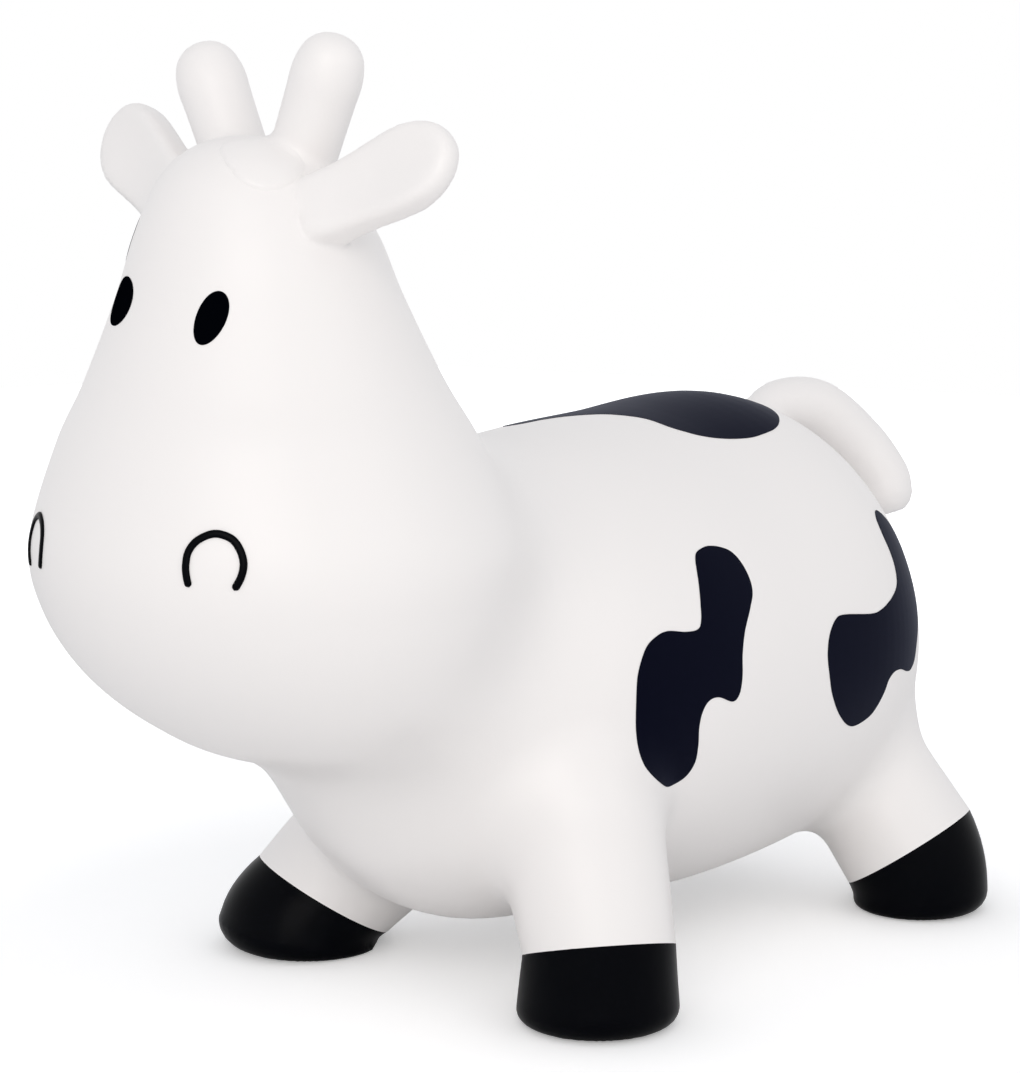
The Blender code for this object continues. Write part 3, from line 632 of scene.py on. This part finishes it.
def draw_skin(forms):
    """One closed mesh over all the forms, its points on the rounded union of them."""
    points, faces = [], []
    for form, _ in forms:
        first = sum(len(p) for p in points)
        points.append(form.points)
        faces.extend([first + k for k in face] for face in form.faces)
    rough = mesh_object("rough", np.vstack(points), faces)
    remesh = rough.modifiers.new("cells", "REMESH")
    remesh.mode = "VOXEL"
    remesh.voxel_size = SKIN_CELL
    mesh = evaluated_mesh(rough)
    bpy.data.objects.remove(rough)

    at = points_of(mesh)
    edges = np.empty(len(mesh.edges) * 2, np.int64)
    mesh.edges.foreach_get("vertices", edges)
    ends = edges.reshape(-1, 2)
    ends = np.vstack((ends, ends[:, ::-1]))
    neighbours = np.bincount(ends[:, 0], minlength=len(at))
    for _ in range(SKIN_ROUNDS):
        sums = [np.bincount(ends[:, 0], at[ends[:, 1], axis], len(at)) for axis in range(3)]
        at = at + (np.column_stack(sums) / neighbours[:, None] - at) * SKIN_EASE
        distance, slope = skin_distance(at, forms)
        steep = np.maximum((slope * slope).sum(axis=1), STEEPNESS_LEAST)
        at = at - slope * (distance / steep)[:, None]
    mesh.vertices.foreach_set("co", at.ravel())
    mesh.update()
    return mesh


def cut_at_paint_lines(mesh, legs):
    """Cuts the skin's faces along each paint line, so that each hoof has a clean edge."""
    built = bmesh.new()
    built.from_mesh(mesh)
    for leg in legs.values():
        near = [v for v in built.verts if (v.co - Vector(leg.line)).length < CUT_RADII * leg.radius]
        faces = {f for v in near for f in v.link_faces}
        geom = list({e for f in faces for e in f.edges} | {v for f in faces for v in f.verts} | faces)
        bmesh.ops.bisect_plane(
            built, geom=geom, dist=CUT_LEAST, plane_co=Vector(leg.line), plane_no=Vector(leg.up)
        )
    built.to_mesh(mesh)
    built.free()
    mesh.shade_smooth()


def renumbered(faces):
    """The points that some face uses, and the faces with those points counted from zero."""
    used = sorted({v for f in faces for v in f})
    index = {v: k for k, v in enumerate(used)}
    return used, [[index[v] for v in f] for f in faces]


class Skin:
    """The finished skin as arrays, with a tree for rays."""

    def __init__(self, mesh):
        self.at = points_of(mesh)
        self.normals = np.empty(len(self.at) * 3)
        mesh.vertices.foreach_get("normal", self.normals)
        self.normals = self.normals.reshape(-1, 3)
        self.faces = [tuple(f.vertices) for f in mesh.polygons]
        mesh.calc_loop_triangles()
        self.triangles = np.array([t.vertices[:] for t in mesh.loop_triangles])
        self.tree = BVHTree.FromPolygons(self.at.tolist(), self.triangles.tolist())

    def hit(self, start, direction):
        """Where a ray meets the skin first, and the smooth normal there."""
        found, _, index, _ = self.tree.ray_cast(Vector(start), Vector(direction))
        corners = self.triangles[index]
        a, b, c = self.at[corners]
        found = np.array(found)
        areas = [
            np.linalg.norm(np.cross(q - found, r - found)) for q, r in ((b, c), (c, a), (a, b))
        ]
        return found, unit(np.array(areas) @ self.normals[corners])

    def piece(self, name, chosen, extra=None):
        """An object of the chosen faces, shaded as the whole skin is, with extra points and faces."""
        used, faces = renumbered([self.faces[f] for f in chosen])
        points, normals = self.at[used], self.normals[used]
        if extra is not None:
            more_points, more_normals, more_faces = extra
            faces += [[len(points) + v for v in f] for f in more_faces]
            points = np.vstack((points, more_points))
            normals = np.vstack((normals, more_normals))
        made = mesh_object(name, points, faces)
        made.data.normals_split_custom_set_from_vertices(normals.tolist())
        return made


def faces_where(skin, chosen_points):
    """For each face, whether all and whether any of its points are chosen."""
    all_of = np.array([all(chosen_points[v] for v in f) for f in skin.faces])
    any_of = np.array([any(chosen_points[v] for v in f) for f in skin.faces])
    return all_of, any_of


def backing(torso, legs):
    """The torso's own skin behind each leg, which shows when a leg is pressed up."""
    keep = np.zeros(len(torso.points), bool)
    for leg in legs.values():
        distance, _ = leg.form.distance(torso.points)
        keep |= distance < BACKING_REACH
    faces = [f for f in torso.faces if all(keep[v] for v in f)]
    shape = mesh_object("backing", torso.points, faces)
    shape.data.update()
    normals = np.empty(len(torso.points) * 3)
    shape.data.vertices.foreach_get("normal", normals)
    normals = normals.reshape(-1, 3) * torso.outward
    bpy.data.objects.remove(shape)
    used, faces = renumbered([f[::int(torso.outward)] for f in faces])
    return torso.points[used] - normals[used] * BACKING_DEPTH, normals[used], faces


def split_skin(skin, torso, legs, horns, ears):
    """The pieces of the skin: the body, and each leg, hoof, horn and ear."""
    owner = np.zeros(len(skin.faces), int)
    names = ["skin_body"]
    valve, _ = faces_where(skin, np.linalg.norm(skin.at - (VALVE_AT - SHIFT), axis=1) < VALVE_CLEAR)
    owner[valve] = -1
    middles = np.array([skin.at[list(f)].mean(axis=0) for f in skin.faces])
    for name, leg in legs.items():
        rise = leg.rise(skin.at)
        near, _ = leg.form.distance(skin.at)
        in_piece, _ = faces_where(skin, (rise < LEG_PIECE_TOP) & (near < LEG_PIECE_REACH))
        below = leg.rise(middles) < 0
        names.append("leg_skin_" + name)
        owner[in_piece & ~below] = len(names) - 1
        names.append("hoof_skin_" + name)
        owner[in_piece & below] = len(names) - 1
    rooted = (
        ("horn_skin_", horns, HORN_PIECE_START, HORN_PIECE_REACH),
        ("ear_skin_", ears, EAR_PIECE_START, EAR_PIECE_REACH),
    )
    for prefix, group, begin, reach in rooted:
        for name, (form, root, along) in group.items():
            near, _ = form.distance(skin.at)
            _, in_piece = faces_where(skin, ((skin.at - root) @ along > begin) & (near < reach))
            names.append(prefix + name)
            owner[in_piece] = len(names) - 1
    made = {}
    for number, name in enumerate(names):
        extra = backing(torso, legs) if number == 0 else None
        made[name] = skin.piece(name, np.flatnonzero(owner == number), extra)
    return made


def plastic(name):
    """Moulded plastic: a fine grain, and a finish that varies a little over the surface."""
    colour, roughness, grain, specular, sheen = FINISHES[name]
    made = bpy.data.materials.new(name)
    made.use_nodes = True
    nodes, links = made.node_tree.nodes, made.node_tree.links
    shader = nodes["Principled BSDF"]
    shader.inputs["Base Color"].default_value = (*colour, 1)
    shader.inputs["Specular IOR Level"].default_value = specular
    shader.inputs["Sheen Weight"].default_value = sheen
    shader.inputs["Sheen Tint"].default_value = (*SHEEN_BLUE, 1)
    place = nodes.new("ShaderNodeTexCoord")
    cloud = nodes.new("ShaderNodeTexNoise")
    cloud.inputs["Scale"].default_value = CLOUD_SCALE
    cloud.inputs["Detail"].default_value = CLOUD_DETAIL
    links.new(place.outputs["Object"], cloud.inputs["Vector"])
    vary = nodes.new("ShaderNodeMapRange")
    vary.inputs["To Min"].default_value = roughness - ROUGHNESS_SWING
    vary.inputs["To Max"].default_value = roughness + ROUGHNESS_SWING
    links.new(cloud.outputs["Fac"], vary.inputs["Value"])
    links.new(vary.outputs["Result"], shader.inputs["Roughness"])
    speck = nodes.new("ShaderNodeTexNoise")
    speck.inputs["Scale"].default_value = GRAIN_SCALE
    links.new(place.outputs["Object"], speck.inputs["Vector"])
    bump = nodes.new("ShaderNodeBump")
    bump.inputs["Strength"].default_value = GRAIN_STRENGTH
    bump.inputs["Distance"].default_value = grain
    links.new(speck.outputs["Fac"], bump.inputs["Height"])
    links.new(bump.outputs["Normal"], shader.inputs["Normal"])
    return made


def finished(obj, material):
    obj.data.materials.clear()
    obj.data.materials.append(material)
    return obj


def carried(skin, outline, across, up, cell):
    """An outline on a plane, carried onto the skin: points and normals there, faces, gaps to the edge."""
    out = np.cross(across, up)
    edge = curve_through(np.array(outline), OUTLINE_STEPS, closed=True)
    low, high = edge.min(axis=0), edge.max(axis=0)
    inner = []
    for row, b in enumerate(np.arange(low[1], high[1], cell * ROW_SHARE)):
        for a in np.arange(low[0] + cell / 2 * (row % 2), high[0], cell):
            if np.min(np.hypot(*(edge - (a, b)).T)) > cell * EDGE_ROOM:
                inner.append((a, b))
    loop = [(k, (k + 1) % len(edge)) for k in range(len(edge))]
    corners = [Vector(p) for p in (*edge, *inner)]
    flat, _, faces, *_ = delaunay_2d_cdt(corners, loop, [], 1, SAME_POINT)
    start = out / 2 - SHIFT
    hits = [skin.hit(start + across * p[0] + up * p[1], -out) for p in flat]
    gaps = [np.min(np.hypot(*(edge - p).T)) for p in np.array([p[:] for p in flat])]
    return np.array([h[0] for h in hits]), np.array([h[1] for h in hits]), faces, np.array(gaps)


def without_loose(points, normals, faces):
    """Leaves out the points that no face uses."""
    used, faces = renumbered(faces)
    return points[used], normals[used], faces


def mark(name, skin, outline, across, up):
    """A thin painted mark that lies on the skin, with a low edge all round."""
    at, normals, faces, _ = carried(skin, outline, across, up, MARK_CELL)
    use = {}
    for a, b in ((f[i], f[i - 1]) for f in faces for i in range(len(f))):
        use[frozenset((a, b))] = use.get(frozenset((a, b)), 0) + 1
    walls = [(a, b, b + len(at), a + len(at)) for (a, b), times in use.items() if times == 1]
    both = np.vstack((at + normals * PAINT_HEIGHT, at - normals * PAINT_SINK))
    points, normals, faces = without_loose(both, np.vstack((normals, normals)), [*faces, *walls])
    made = mesh_object(name, points, faces)
    made.data.normals_split_custom_set_from_vertices(normals.tolist())
    return made


def lock(name, skin):
    """The forelock: a low tongue that rises from the crown and ends in a soft round rim."""
    back = REAR * math.cos(FORELOCK_LEAN) + UP * math.sin(FORELOCK_LEAN)
    at, normals, faces, gaps = carried(skin, FORELOCK_OUTLINE, SIDE, back, FORELOCK_CELL)
    top, tip = (np.array((*p, 0)) - SHIFT for p in FORELOCK_RISE)
    run = tip - top
    down = np.clip(((at - top) @ run) / (run @ run), 0, 1)
    rise = np.clip(gaps / FORELOCK_RIM, 0, 1)
    lift = FORELOCK_HEIGHT * down * np.sin(rise * math.pi / 2) - FORELOCK_SINK
    points, _, faces = without_loose(at + normals * lift[:, None], normals, faces)
    return mesh_object(name, points, faces)


def bead(name, path, normals):
    """A flattened bead along a path on the skin, with round ends."""
    runs = np.gradient(path, axis=0)
    along = np.concatenate(([0], np.cumsum(np.linalg.norm(np.diff(path, axis=0), axis=1))))
    from_end = np.minimum(along, along[-1] - along)
    rings = []
    for at, run, normal, gap in zip(path, runs, normals, from_end):
        share = min(1.0, gap / NOSTRIL_RADIUS)
        here = NOSTRIL_RADIUS * math.sqrt(max(1 - (1 - share) ** 2, NOSTRIL_BLUNT))
        across = unit(np.cross(run, normal))
        middle = at + normal * NOSTRIL_PROUD
        rings.append(ring(middle, across, normal, here, here * NOSTRIL_FLATNESS, AROUND_BEAD))
    form = Form(np.array(rings) + SHIFT)
    return mesh_object(name, form.points, form.faces)


def make_marks(skin):
    black = plastic("printed_black")
    rump_run = SIDE * math.cos(RUMP_TURN) + REAR * math.sin(RUMP_TURN)
    rows = (
        ("patch_flank_left", FLANK_OUTLINE, REAR, UP),
        ("patch_flank_right", RIGHT_OUTLINE, -REAR, UP),
        ("patch_rump", RUMP_OUTLINE, rump_run, UP),
        ("patch_back", BACK_OUTLINE, SIDE, REAR),
        ("patch_brow", BROW_OUTLINE, -REAR, UP),
    )
    for name, outline, across, up in rows:
        made = mark(name.replace("patch", "print"), skin, outline, across, up)
        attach(finished(made, black), "skin")
        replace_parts(made, name)
    flat_black = plastic("eye_black")
    gloss = plastic("glossy_black")
    turn = np.linspace(0, 2 * math.pi, AROUND_EYE, endpoint=False)
    for name, (middle, half) in EYES.items():
        outline = np.column_stack((np.cos(turn), np.sin(turn))) * half + middle
        made = mark("eye_print_" + name, skin, outline, SIDE, UP)
        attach(finished(made, flat_black), "skin")
        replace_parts(made, "eye_" + name)
    white = plastic("white_forelock")
    made = lock("forelock_tongue", skin)
    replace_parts(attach(finished(made, white), "skin"), "forelock")
    for side, name in ((1, "left"), (-1, "right")):
        flat = smooth_rows(np.array(NOSTRIL_PATH) * (side, 1) + NOSTRILS[name])
        hits = [skin.hit(SIDE * a + UP * b - REAR, REAR) for a, b in flat]
        path, normals = np.array([h[0] for h in hits]), np.array([h[1] for h in hits])
        made = bead("nostril_bead_" + name, path, normals)
        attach(finished(made, gloss), "skin")
        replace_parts(made, "nostril_" + name)


def turned(name, profile, closed_start):
    """A turned piece of the valve, from its profile along the valve's own line."""
    rings = []
    for depth, radius in profile:
        circle = ring(UP * depth, SIDE, REAR, radius, radius, AROUND_SMALL)
        rings.append(placed(circle, VALVE_AT, VALVE_INWARD, SIDE))
    points, faces = loft(np.array(rings) - SHIFT, closed_start)
    if not closed_start:
        points, _, faces = without_loose(points, points, faces)
    return mesh_object(name, points, [f[::-1] for f in faces])


def make_valve():
    white = plastic("valve_white")
    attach(finished(turned("valve_collar", COLLAR_PROFILE, False), white), "skin")
    plug = finished(turned("valve_plug", PLUG_PROFILE, True), white)
    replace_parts(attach(plug, "air_plug"), "air_plug")


def make_floor():
    """A pale floor that keeps the shadow and fades to the white backdrop away from the cow."""
    bpy.ops.mesh.primitive_plane_add(size=FLOOR_SIZE)
    floor = bpy.context.object
    floor.name = "floor"
    floor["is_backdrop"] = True
    made = bpy.data.materials.new("floor")
    made.use_nodes = True
    nodes, links = made.node_tree.nodes, made.node_tree.links
    shader = nodes["Principled BSDF"]
    shader.inputs["Base Color"].default_value = (*FLOOR_COLOUR, 1)
    shader.inputs["Roughness"].default_value = FLOOR_ROUGHNESS
    place = nodes.new("ShaderNodeTexCoord")
    length = nodes.new("ShaderNodeVectorMath")
    length.operation = "LENGTH"
    links.new(place.outputs["Object"], length.inputs[0])
    fade = nodes.new("ShaderNodeMapRange")
    fade.inputs["From Min"].default_value = FLOOR_FADE[0]
    fade.inputs["From Max"].default_value = FLOOR_FADE[1]
    fade.inputs["To Min"].default_value = FLOOR_LIFT[0]
    fade.inputs["To Max"].default_value = FLOOR_LIFT[1]
    links.new(length.outputs["Value"], fade.inputs["Value"])
    path = nodes.new("ShaderNodeLightPath")
    seen = nodes.new("ShaderNodeMath")
    seen.operation = "MULTIPLY"
    links.new(path.outputs["Is Camera Ray"], seen.inputs[0])
    links.new(fade.outputs["Result"], seen.inputs[1])
    lift = nodes.new("ShaderNodeEmission")
    links.new(seen.outputs["Value"], lift.inputs["Strength"])
    add = nodes.new("ShaderNodeAddShader")
    links.new(shader.outputs["BSDF"], add.inputs[0])
    links.new(lift.outputs["Emission"], add.inputs[1])
    links.new(add.outputs["Shader"], nodes["Material Output"].inputs["Surface"])
    floor.data.materials.append(made)


def make_light():
    world = bpy.data.worlds.new("studio")
    bpy.context.scene.world = world
    world.use_nodes = True
    nodes, links = world.node_tree.nodes, world.node_tree.links
    sky = nodes["Background"]
    sky.inputs["Color"].default_value = (*SKY_COLOUR, 1)
    sky.inputs["Strength"].default_value = SKY_STRENGTH
    white = nodes.new("ShaderNodeBackground")
    white.inputs["Color"].default_value = (1, 1, 1, 1)
    path = nodes.new("ShaderNodeLightPath")
    sees_white = path.outputs["Is Camera Ray"]
    for kind in ("Is Glossy Ray", "Is Transmission Ray"):
        add = nodes.new("ShaderNodeMath")
        add.operation = "ADD"
        add.use_clamp = True
        links.new(sees_white, add.inputs[0])
        links.new(path.outputs[kind], add.inputs[1])
        sees_white = add.outputs["Value"]
    mix = nodes.new("ShaderNodeMixShader")
    links.new(sees_white, mix.inputs["Fac"])
    links.new(sky.outputs["Background"], mix.inputs[1])
    links.new(white.outputs["Background"], mix.inputs[2])
    links.new(mix.outputs["Shader"], nodes["World Output"].inputs["Surface"])

    for name, (at, power) in LAMPS.items():
        lamp = bpy.data.lights.new(name, "AREA")
        lamp.size = LAMP_SIZE
        lamp.energy = power
        lamp.color = LAMP_COLOUR
        made = bpy.data.objects.new(name, lamp)
        bpy.context.scene.collection.objects.link(made)
        made.location = at
        made.rotation_euler = (Vector(LAMP_AIM) - Vector(at)).to_track_quat("-Z", "Y").to_euler()


def make_camera():
    camera = bpy.data.objects.new("camera", bpy.data.cameras.new("camera"))
    bpy.context.scene.collection.objects.link(camera)
    camera.data.lens = CAMERA_LENS
    camera.location = CAMERA_AT
    ahead = SIDE * -math.sin(CAMERA_TURN) + REAR * math.cos(CAMERA_TURN)
    look = Vector(ahead * math.cos(CAMERA_DIP) - UP * math.sin(CAMERA_DIP))
    camera.rotation_euler = look.to_track_quat("-Z", "Y").to_euler()
    bpy.context.scene.camera = camera


def make_skin():
    torso = torso_form()
    legs = {name: Leg(*row) for name, row in LEGS.items()}
    horns = {name: horn_form(side, HORN_LEANS[name]) for side, name in ((1, "left"), (-1, "right"))}
    ears = {name: ear_form(*row) for name, row in EARS.items()}
    forms = [(torso, 0), (head_form(), NECK_ROUND)]
    forms += [(leg.form, LEG_ROUND) for leg in legs.values()]
    forms += [(tail_form(), TAIL_ROUND)]
    forms += [(horn[0], HORN_ROUND) for horn in horns.values()]
    forms += [(ear[0], EAR_ROUND) for ear in ears.values()]
    mesh = draw_skin(forms)
    cut_at_paint_lines(mesh, legs)
    skin = Skin(mesh)
    pieces = split_skin(skin, torso, legs, horns, ears)
    bpy.data.meshes.remove(mesh)

    white = plastic("white_skin")
    hoof_black = plastic("hoof_black")
    body = finished(pieces["skin_body"], white)
    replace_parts(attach(body, "skin"), "torso", "head", "tail")
    for name, leg in legs.items():
        made = finished(pieces["leg_skin_" + name], white)
        start, end = (leg.line + leg.up * rise for rise in LEG_BEND)
        tuple(start)
        tuple(end)
        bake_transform(made)
        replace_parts(made, "leg_" + name)
        made = finished(pieces["hoof_skin_" + name], hoof_black)
        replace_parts(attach(made, "hoof_" + name), "hoof_" + name)
    for kind, group, bend in (("horn", horns, HORN_BEND), ("ear", ears, EAR_BEND)):
        for name, (_, root, along) in group.items():
            made = finished(pieces[f"{kind}_skin_{name}"], white)
            start, end = (root + along * rise for rise in bend)
            tuple(start)
            tuple(end)
            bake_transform(made)
            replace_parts(made, f"{kind}_{name}")
    return skin


def main():
    make_camera()
    make_floor()
    make_light()
    bpy.context.scene.view_settings.view_transform = "Standard"
    skin = make_skin()
    make_marks(skin)
    make_valve()
    boxes = {"cad": CAD_BOX, "visual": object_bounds()}
    sizes = {name: [list(corner) for corner in box] for name, box in boxes.items()}


main()
